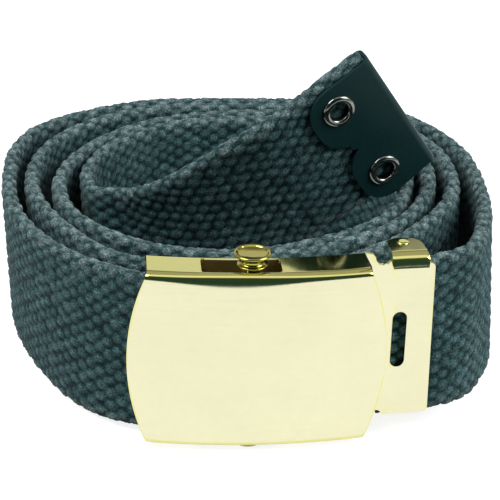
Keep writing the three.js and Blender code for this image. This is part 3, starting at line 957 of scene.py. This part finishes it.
def paint_inside(piece):
    """Marks with 1 the unpolished metal that shows through the bar's slot."""
    marks = []
    for point in piece.data.vertices:
        u, d, z = point.co / MM
        beside = BAR_SLOT["from"] - INSIDE["beside"] < u < LIP["to"]
        behind = d - bow(u) > BAR_SLOT["front"] + INSIDE["behind"]
        under_top = INSIDE["highest"] < COVER_TOP - z < INSIDE["lowest"]
        marks.append(float(beside and behind and under_top))
    store(piece.data, "inside", marks)


def buckle_cover():
    half, back = COVER["half_middle"] + 0.8, COVER["depth"]
    made = channel("cover", -half, half, 0, back, COVER["foot"], COVER_TOP, COVER_BEND, roll=fold_reach)
    carve(made, front_blank(barrel_outline(), -6, 20), "INTERSECT")
    slot = [BAR_SLOT[key] for key in ("from", "to", "front")]
    carve(made, slot_cutter(*slot, back - SHEET, BAR_SLOT["corner"]))
    carve(made, cover_lip(), "UNION")
    clean(made)
    soften(made, SOFT_EDGE)
    paint_face(made)
    paint_inside(made)
    settle(made, TO_BUCKLE)
    return made


cover = buckle_cover()
print("cover", len(cover.data.polygons), "faces")

# %% [markdown]
# ## The buckle's frame
# The frame is a second plate, just behind the cover's right end. It ends in two ears that turn
# back to carry the hinge pin, has a long slot where the fixed end shows, and grows a small horn
# that hooks over the cover. It is folded and blanked in the same way as the cover, but its plate
# and its ears have different outlines, so they are blanked apart and then joined into one.

# %% Frame: outlines
FRAME = {"foot": 5.5, "top": 44.8, "ear_top": 45.6, "left": 21.0, "right": 39.2, "inset": 1.15}
EAR = {"left": 28.9, "right": 37.2, "depth": 15.0, "bend": 3.0, "tipped_from": 6.5, "tip": 0.12}
LONG_SLOT = {"u": 31.2, "low": 20.2, "high": 30.55, "half_width": 1.62}
PIN = {"u": 32.3, "d": 10.6, "radius": 1.0, "bore": 1.3}


def frame_outline():
    """The plate seen from the front, with its notch below and its horn above."""
    foot, high, top = FRAME["foot"], FRAME["ear_top"] - EAR["bend"], FRAME["top"]
    notch = arc(27.0, foot + 1.1, 1.35, 166, 7, 14)
    scoop = arc(26.7, top + 1.1, 1.8, -36, -180, 14)
    return [
        (FRAME["left"], foot + 1.4), (25.6, foot + 1.4), *notch, (28.6, foot + 1), (37.8, foot + 1),
        (38.5, foot + 1.15), (38.95, foot + 1.9), (38.35, top - 1.9), (38.0, top - 1.35),
        (37.1, top - 0.9), (37.0, high), (29.1, high), (28.5, top - 0.3), *scoop, (24.4, top + 1.8),
        (22.4, top + 2.4), (24.1, top - 0.9), (24.6, top - 3.2), (FRAME["left"], top - 3.4),
    ]


def ear_outline():
    """An ear seen from above, round at its rear."""
    left, right = EAR["left"], EAR["right"]
    return [
        (left - 1, -6), (right, -6), (right, 3), (36.7, 6), (36.6, 10), (36.2, 11.9), (35.2, 13.2),
        (34, 13.8), *arc(32.6, 10.2, 3.7, 90, 180, 14), (left - 0.1, 7), (left - 1, 6),
    ]


def slot_outline():
    u, half = LONG_SLOT["u"], LONG_SLOT["half_width"]
    return arc(u, LONG_SLOT["low"], half, 180, 360, 16) + arc(u, LONG_SLOT["high"], half, 0, 180, 16)


print("outlines of", len(frame_outline()), len(ear_outline()), len(slot_outline()), "points")

# %% Make the frame
def flat_plate(name, from_u, to_u, depth, foot, top):
    """A bowed plate of sheet, standing on end."""
    made = upright_grid(name, int(to_u - from_u), 10, from_u, to_u, depth, foot, top)
    set_back(made, frame_bow)
    thicken(made, SHEET)
    return made


def pin_bore(steps):
    """A cutter for the hole that the hinge pin goes through."""
    return plan_blank(arc(PIN["u"], PIN["d"], PIN["bore"], 0, 360 - 360 / (steps + 1), steps), -5, 55)


def buckle_ears():
    made = channel("ears", EAR["left"], EAR["right"], FRAME["inset"], EAR["depth"], FRAME["foot"],
                   FRAME["ear_top"], EAR["bend"], depth_at=frame_bow)
    carve(made, plan_blank(ear_outline(), -5, 55), "INTERSECT")
    # the folding press leaves both ears a little tipped towards each other at the rear
    for point in made.data.vertices:
        behind = point.co.y / MM - EAR["tipped_from"]
        if behind > 0:
            point.co.z -= EAR["tip"] * behind * MM * (1 if point.co.z > 25 * MM else -1)
    # a step back of a hair keeps the ears' front from lying in the plate's front, face on face
    made.data.transform(Matrix.Translation((0, 0.03 * MM, 0)))
    return made


def buckle_frame():
    made = flat_plate("frame", FRAME["left"], FRAME["right"] + 0.5, FRAME["inset"], FRAME["foot"],
                      FRAME["top"] + 3)
    carve(made, front_blank(frame_outline(), -6, 14), "INTERSECT")
    carve(made, buckle_ears(), "UNION")
    carve(made, front_blank(slot_outline(), -6, 7))
    carve(made, pin_bore(47))
    clean(made)
    soften(made, SOFT_EDGE)
    paint_face(made)
    settle(made, TO_BUCKLE)
    return made


buckle_plate = buckle_frame()
print("frame", len(buckle_plate.data.polygons), "faces")

# %% [markdown]
# ## Turned pieces: the locking bar and the hinge pin
# The bar slides in the cover's slot and traps the strap; a flared knob moves it. It is turned
# metal, so its half profile is drawn once and spun round its axis. Corners of the profile are
# rounded before the spin, which costs far fewer faces than a bevel all round.

# %% Helpers: spun pieces
def spun(name, profile, sides, matrix):
    """Spins rows of radius and height round an upright axis, then puts the piece in its place."""
    joins = [(i, i + 1) for i in range(len(profile) - 1)]
    made = new_piece(name, [(radius, 0, z) for radius, z in profile], joins, [])
    edit(made, action="SELECT")
    bpy.ops.mesh.spin(steps=sides, angle=2 * math.pi, center=(0, 0, 0), axis=(0, 0, 1))
    clean(made, 0.01)
    smooth(made, 50)
    settle(made, matrix)
    return made


def rounded(profile, radius):
    """Replaces each inner corner of a profile by a small curve."""
    points = [profile[0]]
    for before, corner, after in zip(profile[:-2], profile[1:-1], profile[2:]):
        a, b, c = (np.array(p, dtype=float) for p in (before, corner, after))
        back, on = a - b, c - b
        reach = min(radius, 0.45 * np.linalg.norm(back), 0.45 * np.linalg.norm(on))
        start, end = b + back / np.linalg.norm(back) * reach, b + on / np.linalg.norm(on) * reach
        for t in np.linspace(0, 1, 5):
            points.append(tuple((1 - t) ** 2 * start + 2 * t * (1 - t) * b + t * t * end))
    return points + [profile[-1]]


def moved(matrix, x, y):
    """A place at x and y of another place."""
    return matrix @ Matrix.Translation(Vector((x, y, 0)) * MM)


print("spinning helpers ready")

# %% Locking bar and hinge pin
BAR = {"u": -1.4, "d": 3.3, "radius": 1.5, "knob_from": COVER_TOP + 0.3}
BAR_HEAD = [(0, 0), (3.2, 0), (3.4, 0.25), (3.4, 0.62), (BAR["radius"], 0.62)]
# heights of the knob are counted from its foot
KNOB = [
    (BAR["radius"], 0), (3.35, 0), (3.35, 0.35), (2.75, 0.5), (2.5, 0.8), (2.45, 1.4), (2.9, 1.9),
    (3.95, 2.4), (4.15, 2.75), (3.95, 3.05), (3.55, 3.05), (3.2, 2.7), (1.6, 2.55), (0, 2.52),
]
bar_profile = BAR_HEAD + [(radius, BAR["knob_from"] + z) for radius, z in KNOB]
locking_bar = spun("bar", rounded(bar_profile, 0.25), 56, moved(TO_BUCKLE, BAR["u"], BAR["d"]))

pin_foot, pin_top = FRAME["foot"] - 0.3, FRAME["ear_top"] - 0.1
pin_profile = [
    (0, pin_foot - 0.6), (1.4, pin_foot - 0.5), (1.7, pin_foot), (PIN["radius"], pin_foot),
    (PIN["radius"], pin_top - 0.3), (1.45, pin_top - 0.3), (1.35, pin_top - 0.1), (0.9, pin_top),
    (0, pin_top + 0.02),
]
hinge_pin = spun("pin", rounded(pin_profile, 0.15), 32, moved(TO_BUCKLE, PIN["u"], PIN["d"]))
print("bar and pin", len(locking_bar.data.polygons), len(hinge_pin.data.polygons), "faces")

# %% [markdown]
# ## The clamp plate
# The clamp plate lies behind the frame and bites the fixed end with a row of small teeth. It is
# mostly hidden, so it is a short bowed plate with a barrel round the pin, and cone-shaped teeth.

# %% Clamp plate
CLAMP = {"left": 29.8, "right": 36.2, "depth": 6.9, "inset": 1.4, "barrel": 2.0}
TOOTH = {"u": 30.6, "d": 6.6, "pitch": 3.2, "length": 1.2, "foot": 0.7, "point": 0.05}


def add_tooth(plate, z):
    fresh()
    spot = Vector((TOOTH["u"], frame_bow(TOOTH["u"]) + TOOTH["d"], z)) * MM
    bpy.ops.mesh.primitive_cone_add(vertices=8, radius1=TOOTH["foot"] * MM, radius2=TOOTH["point"] * MM,
                                    depth=TOOTH["length"] * MM, rotation=(math.radians(90), 0, 0),
                                    location=spot)
    tooth = bpy.context.object
    settle(tooth)
    carve(plate, tooth, "UNION")


def clamp_plate():
    foot, top = FRAME["foot"] + CLAMP["inset"], FRAME["top"] - CLAMP["inset"]
    made = flat_plate("clamp", CLAMP["left"], CLAMP["right"], CLAMP["depth"], foot, top)
    fresh()
    bpy.ops.mesh.primitive_cylinder_add(vertices=32, radius=CLAMP["barrel"] * MM, depth=(top - foot) * MM,
                                        location=(PIN["u"] * MM, PIN["d"] * MM, (foot + top) / 2 * MM))
    barrel = bpy.context.object
    settle(barrel)
    carve(made, barrel, "UNION")
    carve(made, pin_bore(23))
    for z in np.arange(foot + 2, top - 1, TOOTH["pitch"]):
        add_tooth(made, z)
    clean(made)
    soften(made, 0.1)
    settle(made, TO_BUCKLE)
    return made


clamp = clamp_plate()
print("clamp", len(clamp.data.polygons), "faces")

# %% [markdown]
# ## The end tip
# The free end is closed by one sheet of black metal, folded over the strap's end. Each side ends
# in two round lobes round the eyelets. It is made like the buckle's sheets: folded first, then
# blanked to its outline and punched.

# %% Tip: places and outline
TIP = {"sheet": 0.8, "half_width": 19.0, "upper": 18.0, "length": 19.2, "across": -1.0, "bend": 1.6}
# the lower lobe is shorter than the upper one and slants, and a notch parts them
LOBES = {"corner": 7.5, "lower_short": 1.2, "slant": 0.09, "notch": (14.6, -0.8)}
TIP_GAP = 0.3
WEB_THICK = 3.4
TIP_FACE = WEB_THICK / 2 + TIP_GAP + TIP["sheet"]
EYELET = {"flange": 4.1, "hole": 2.35, "barrel": 2.75, "clearance": 3.05, "rim": 0.8}
EYELET_PLACES = {"eyelet_upper": (11.7, 11.3), "eyelet_lower": (10.9, -11.9)}

# drawn with x back from the strap's end, y across it and z out of its front
end_frame = strap_frames(np.array([STRAP_LENGTH]))
end_middle, end_along, end_across, end_outward = (part[0] for part in end_frame)
tip_turn = Matrix(np.column_stack([-end_along, end_across, end_outward])).to_4x4()
TO_TIP = Matrix.Translation((end_middle + TIP["across"] * end_across) * MM) @ tip_turn


def tip_outline():
    half, upper, length, corner = TIP["half_width"], TIP["upper"], TIP["length"], LOBES["corner"]
    back = -TIP_GAP - TIP["sheet"] - 0.4
    short = length - LOBES["lower_short"]
    lower = arc(short - corner, corner - half, corner, -90, 0, 14)
    lower += arc(short - corner, -corner, corner, 0, 70, 10)
    above = arc(length - corner, corner, corner, -70, 0, 10)
    above += arc(length - corner, upper - corner, corner, 0, 90, 14)
    slanted = [(x, y - LOBES["slant"] * x) for x, y in lower]
    return [(back, -half), *slanted, LOBES["notch"], *above, (back, upper)]


print("tip outline of", len(tip_outline()), "points")

# %% Make the tip
def end_tip():
    end = -TIP_GAP - TIP["sheet"]
    fresh()
    bpy.ops.mesh.primitive_grid_add(x_subdivisions=3, y_subdivisions=20, size=1,
                                    rotation=(0, math.radians(-90), 0))
    made = bpy.context.object
    made.name = "tip"
    made.scale = (2 * TIP_FACE * MM, 2 * (TIP["half_width"] + 1) * MM, 1)
    made.location = (end * MM, 0, 0)
    settle(made)
    rims = [lambda p, level=level: near(p.z, level) and near(p.x, end) for level in (-TIP_FACE, TIP_FACE)]
    fold(made, rims, (TIP["length"] + 3, 0, 0), TIP["bend"], 8)
    thicken(made, TIP["sheet"])
    carve(made, plan_blank(tip_outline(), -2 * TIP_FACE, 2 * TIP_FACE), "INTERSECT")
    for back, across in EYELET_PLACES.values():
        hole = arc(back, across, EYELET["clearance"], 0, 352.5, 47)
        carve(made, plan_blank(hole, -2 * TIP_FACE, 2 * TIP_FACE))
    clean(made)
    soften(made, 0.15)
    settle(made, TO_TIP)
    return made


tip = end_tip()
print("tip", len(tip.data.polygons), "faces")

# %% [markdown]
# ## Eyelets
# Two nickel eyelets hold the tip. Each is a short tube whose ends are rolled outwards into a round
# rim on both faces, so its closed profile is spun round the tube's axis.

# %% Eyelets
def eyelet(name, back, across):
    flange, hole, barrel, rim = (EYELET[key] for key in ("flange", "hole", "barrel", "rim"))
    face = TIP_FACE + 0.1
    half = [
        (hole, 0), (hole, face + 0.3 * rim), (hole + 0.25, face + 0.8 * rim), (hole + 0.7, face + rim),
        (flange - 0.7, face + 0.95 * rim), (flange - 0.2, face + 0.6 * rim), (flange, face + 0.1),
        (flange - 0.2, face), (barrel, face),
    ]
    mirrored = [(radius, -z) for radius, z in reversed(half)]
    loop = rounded(half + mirrored[:-1] + [half[0]], 0.3)
    return spun(name, loop, 48, moved(TO_TIP, back, across))


eyelets = {name: eyelet("rolled_" + name, *spot) for name, spot in EYELET_PLACES.items()}
print("eyelets", [len(piece.data.polygons) for piece in eyelets.values()], "faces")

# %% [markdown]
# ## Brass
# The brass is polished on its bends and walls, and brushed lightly along its broad face. A brushed
# face spreads the white floor's reflection, and its colour is painted paler and greyer too, a painted
# reflection of the white floor, so it looks paler than the mirror-bright bends. Two materials with a
# seam between them would show a line, so one does both: the attribute that marks the broad face
# blends the two finishes and the painted reflection. Inside the bar's slot the metal is brown and
# unpolished, which the second attribute marks. The bar itself is of a deeper, yellower brass.

# %% Brass
# the broad face's colour: brass painted paler and greyer, a painted reflection of the white floor
BRUSHED_PAINTED_REFLECTION = (0.64, 0.62, 0.42, 1)
UNPOLISHED = {"color": (0.62, 0.42, 0.17, 1), "roughness": 0.45}
MIRROR_ROUGHNESS = 0.09


def wandering(tree, low, high):
    """Turns noise into a value that wanders between two others."""
    span = {"From Min": 0.3, "From Max": 0.7, "To Min": low, "To Max": high}
    return node(tree, "MapRange", span)


def brass_material(name, polished):
    """Brass: mirror-bright on bends and walls, finely brushed and painted paler, as a painted reflection
    of the floor, where the face attribute is 1.
    """
    made, tree, shader = new_material(name, {"Metallic": 1.0})
    face = stored(tree, "face")
    inside = stored(tree, "inside")
    spot = node(tree, "TexCoord")
    lengthwise = node(tree, "Mapping", {"Rotation": (0, 0, -FACE_TURN), "Scale": (60, 60, 2600)})
    streaks = node(tree, "TexNoise", {"Scale": 1.0, "Detail": 3.0, "Roughness": 0.6})
    link(tree, spot, "Object", lengthwise, 0, lengthwise, 0, streaks, "Vector")

    # the broad face takes the painted reflection's paler colour
    color = mix(tree, {"A": (*polished, 1), "B": BRUSHED_PAINTED_REFLECTION})
    brown = mix(tree, {"B": UNPOLISHED["color"]})
    link(tree, face, "Fac", color, 0, inside, "Fac", brown, 0, color, 2, brown, 6)
    clouds = speckle(tree, spot, "Object", 90.0, 700.0, 0.35)
    tone = ramp(tree, [(0.3, grey(0.97)), (0.7, grey(1.02))])
    toned = mix(tree, {"Factor": 1.0}, blend_type="MULTIPLY")
    link(tree, clouds, 0, tone, 0, brown, 2, toned, 6, tone, 0, toned, 7, toned, 2, shader, "Base Color")

    brushed = wandering(tree, 0.2, 0.27)
    gloss = mix(tree, {"A": MIRROR_ROUGHNESS}, "FLOAT")
    matt = mix(tree, {"B": UNPOLISHED["roughness"]}, "FLOAT")
    link(tree, streaks, 0, brushed, 0, face, "Fac", gloss, 0, brushed, 0, gloss, 3)
    link(tree, inside, "Fac", matt, 0, gloss, 0, matt, 2, matt, 0, shader, "Roughness")

    grain = node(tree, "Bump", {"Distance": 0.00002})
    depth = times(tree, 0.15)
    link(tree, face, "Fac", depth, 0, depth, 0, grain, "Strength", streaks, 0, grain, "Height")
    link(tree, grain, 0, shader, "Normal")
    return made


BRASS = brass_material("pale_brass", (0.6, 0.57, 0.2))
DEEP_BRASS = brass_material("deep_brass", (0.36, 0.32, 0.07))
for piece in (cover, buckle_plate, hinge_pin, clamp):
    piece.data.materials.append(BRASS)
locking_bar.data.materials.append(DEEP_BRASS)
print("brass on 5 pieces")

# %% [markdown]
# ## Black finish and nickel
# The tip has a black finish with little gloss, and the eyelets are dark nickel. Flat colours would
# look like plastic, so the tone and the gloss of both wander a little. The speckle group makes the
# clouds again, and one function serves both, because only the numbers differ.

# %% Black tip and its eyelets
def clouded_material(name, plain, sizes, tones, gloss):
    """A finish whose tone and roughness wander between two values each."""
    made, tree, shader = new_material(name, plain)
    spot = node(tree, "TexCoord")
    clouds = speckle(tree, spot, "Object", *sizes, 0.4)
    tone = ramp(tree, [(0.3, tones[0]), (0.7, tones[1])])
    roughness = wandering(tree, *gloss)
    link(tree, clouds, 0, tone, 0, clouds, 0, roughness, 0)
    link(tree, tone, 0, shader, "Base Color", roughness, 0, shader, "Roughness")
    return made


BLACK = clouded_material("gloss_black", {"Specular IOR Level": 0.09}, (60.0, 900.0),
                         [(0.005, 0.022, 0.023), (0.008, 0.030, 0.031)], (0.3, 0.4))
NICKEL = clouded_material("dark_nickel", {"Metallic": 1.0}, (300.0, 1500.0),
                          [(0.13, 0.14, 0.13), (0.21, 0.22, 0.2)], (0.1, 0.22))
tip.data.materials.append(BLACK)
for piece in eyelets.values():
    piece.data.materials.append(NICKEL)
print("black on the tip, nickel on", len(eyelets), "eyelets")

# %% [markdown]
# ## Onto the frame
# Each piece rides on the belt's one body and stands for its solid; the list below also names
# the slot of its finish. The strap's lengths are one strip of cloth, and each keeps its length along it.

# %% Hang everything on the frame
for strap in straps:
    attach(strap, "root")
    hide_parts("webbing")

HARDWARE = [
    (cover, "buckle_cover", "brass"),
    (buckle_plate, "buckle_frame", "brass"),
    (locking_bar, "locking_bar", "brass"),
    (clamp, "clamp_plate", "brass"),
    (hinge_pin, "hinge_pin", "brass"),
    (tip, "end_tip", "black_tip"),
    *[(piece, name, "nickel") for name, piece in eyelets.items()],
]
for piece, solid, slot in HARDWARE:
    apply_modifier(piece, "WEIGHTED_NORMAL", keep_sharp=True)
    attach(piece, "root")
    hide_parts(solid)
